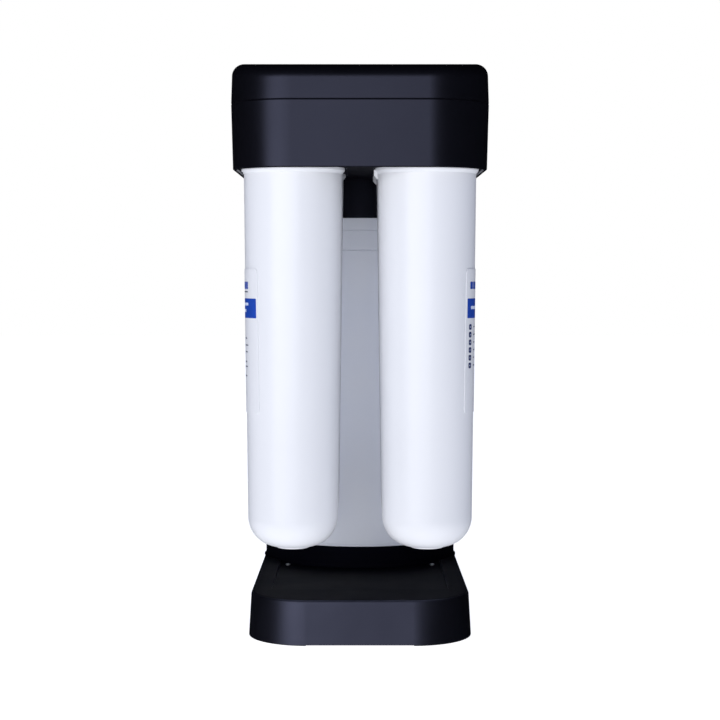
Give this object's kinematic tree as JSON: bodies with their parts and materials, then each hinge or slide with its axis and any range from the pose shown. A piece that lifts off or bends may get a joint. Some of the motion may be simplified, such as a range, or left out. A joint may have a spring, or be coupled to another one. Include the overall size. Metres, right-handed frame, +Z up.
{
  "type": "under-sink reverse osmosis unit",
  "caption": "Compact drinking-water filter unit: dark head with a lift-off lid, hanging twist-in white cartridges, and a white pressure tank behind them on a black base tray.",
  "frame": {"origin": "centre of the unit's footprint box, on the floor that its rubber feet stand on", "axes": "+X to the right seen from the front, front faces -Y, +Z up"},
  "size_m": [0.19, 0.371, 0.426],
  "materials": {
    "head_abs": "moulded, fine satin",
    "black_abs": "moulded, fine satin",
    "tank_plastic": "moulded, satin gloss",
    "cartridge_plastic": "moulded, gloss",
    "label_film": "printed film",
    "white_plastic": "moulded",
    "natural_plastic": "moulded",
    "tube_plastic": "extruded",
    "collet_plastic": "moulded",
    "foot_rubber": "moulded",
    "seal_rubber": "moulded",
    "bladder_rubber": "moulded",
    "zinc_screw": "zinc plated",
    "spring_steel": "drawn wire",
    "valve_brass": "machined",
    "pleat_media": "pleated fleece",
    "carbon_media": "sintered block",
    "membrane_film": "wound film"
  },
  "bodies": {
    "frame_and_tank": {"base_tray": "black_abs", "base_feet": "foot_rubber", "tank_collar": "black_abs", "collar_screws": "zinc_screw", "tank_lower_shell": "tank_plastic", "tank_band": "tank_plastic", "tank_dome": "tank_plastic", "tank_bladder": "bladder_rubber", "tank_air_valve": "valve_brass", "tank_neck": "natural_plastic", "tank_tee": "natural_plastic", "tank_shroud": "black_abs", "head_casing": "head_abs", "manifold": "white_plastic", "manifold_cover": "natural_plastic", "head_screws": "zinc_screw", "drain_port": "natural_plastic", "feed_port": "natural_plastic", "clean_port": "natural_plastic", "port_seals": "seal_rubber", "shutoff_body": "natural_plastic", "shutoff_cover": "natural_plastic", "shutoff_diaphragm": "seal_rubber", "shutoff_spring": "spring_steel", "check_valve_body": "natural_plastic", "check_spring": "spring_steel", "flow_restrictor": "natural_plastic", "inner_tubes": "tube_plastic"},
    "lid": {"top_lid": "head_abs"},
    "drain_release": {"drain_collet": "collet_plastic"},
    "feed_release": {"feed_collet": "collet_plastic"},
    "clean_release": {"clean_collet": "collet_plastic"},
    "shutoff_piston": {"shutoff_plunger": "natural_plastic"},
    "check_piston": {"check_poppet": "collet_plastic"},
    "cartridge_1": {"cartridge_1_cap": "cartridge_plastic", "cartridge_1_shell": "cartridge_plastic", "cartridge_1_label": "label_film", "cartridge_1_element": "pleat_media", "cartridge_1_seals": "seal_rubber"},
    "socket_valve_1": {"socket_poppet_1": "collet_plastic"},
    "cartridge_2": {"cartridge_2_cap": "cartridge_plastic", "cartridge_2_shell": "cartridge_plastic", "cartridge_2_label": "label_film", "cartridge_2_element": "carbon_media", "cartridge_2_seals": "seal_rubber"},
    "socket_valve_2": {"socket_poppet_2": "collet_plastic"},
    "cartridge_3": {"cartridge_3_cap": "cartridge_plastic", "cartridge_3_shell": "cartridge_plastic", "cartridge_3_label": "label_film", "cartridge_3_element": "carbon_media", "cartridge_3_seals": "seal_rubber"},
    "socket_valve_3": {"socket_poppet_3": "collet_plastic"},
    "cartridge_4": {"cartridge_4_cap": "cartridge_plastic", "cartridge_4_shell": "cartridge_plastic", "cartridge_4_label": "label_film", "cartridge_4_element": "membrane_film", "cartridge_4_seals": "seal_rubber"},
    "socket_valve_4": {"socket_poppet_4": "collet_plastic"}
  },
  "joints": [
    {"name": "lid_lift", "type": "slide", "parent": "frame_and_tank", "child": "lid", "axis": [0, 0, 1], "range_m": [0, 0.05]},
    {"name": "cartridge_1_turn", "type": "hinge", "parent": "frame_and_tank", "child": "cartridge_1", "pos_m": [-0.0493, -0.1405, 0.3475], "axis": [0, 0, -1], "range_deg": [0, 45]},
    {"name": "cartridge_2_turn", "type": "hinge", "parent": "frame_and_tank", "child": "cartridge_2", "pos_m": [0.0493, -0.1405, 0.3475], "axis": [0, 0, -1], "range_deg": [0, 45]},
    {"name": "cartridge_3_turn", "type": "hinge", "parent": "frame_and_tank", "child": "cartridge_3", "pos_m": [-0.0493, -0.0565, 0.3475], "axis": [0, 0, -1], "range_deg": [0, 45]},
    {"name": "cartridge_4_turn", "type": "hinge", "parent": "frame_and_tank", "child": "cartridge_4", "pos_m": [0.0493, -0.0565, 0.3475], "axis": [0, 0, -1], "range_deg": [0, 45]},
    {"name": "socket_valve_1_lift", "type": "slide", "parent": "frame_and_tank", "child": "socket_valve_1", "axis": [0, 0, 1], "range_m": [0, 0.001]},
    {"name": "socket_valve_2_lift", "type": "slide", "parent": "frame_and_tank", "child": "socket_valve_2", "axis": [0, 0, 1], "range_m": [0, 0.001]},
    {"name": "socket_valve_3_lift", "type": "slide", "parent": "frame_and_tank", "child": "socket_valve_3", "axis": [0, 0, 1], "range_m": [0, 0.001]},
    {"name": "socket_valve_4_lift", "type": "slide", "parent": "frame_and_tank", "child": "socket_valve_4", "axis": [0, 0, 1], "range_m": [0, 0.001]},
    {"name": "drain_release_push", "type": "slide", "parent": "frame_and_tank", "child": "drain_release", "axis": [0, -1, 0], "range_m": [0, 0.0015]},
    {"name": "feed_release_push", "type": "slide", "parent": "frame_and_tank", "child": "feed_release", "axis": [0, -1, 0], "range_m": [0, 0.0015]},
    {"name": "clean_release_push", "type": "slide", "parent": "frame_and_tank", "child": "clean_release", "axis": [0, -1, 0], "range_m": [0, 0.0015]},
    {"name": "shutoff_stroke", "type": "slide", "parent": "frame_and_tank", "child": "shutoff_piston", "axis": [0, 0, -1], "range_m": [0, 0.0015], "stiffness_N_per_m": 300, "springref_m": -0.001, "deforming": ["shutoff_spring"]},
    {"name": "check_stroke", "type": "slide", "parent": "frame_and_tank", "child": "check_piston", "axis": [0, 1, 0], "range_m": [0, 0.0015], "stiffness_N_per_m": 100, "springref_m": -0.001, "deforming": ["check_spring"]}
  ]
}
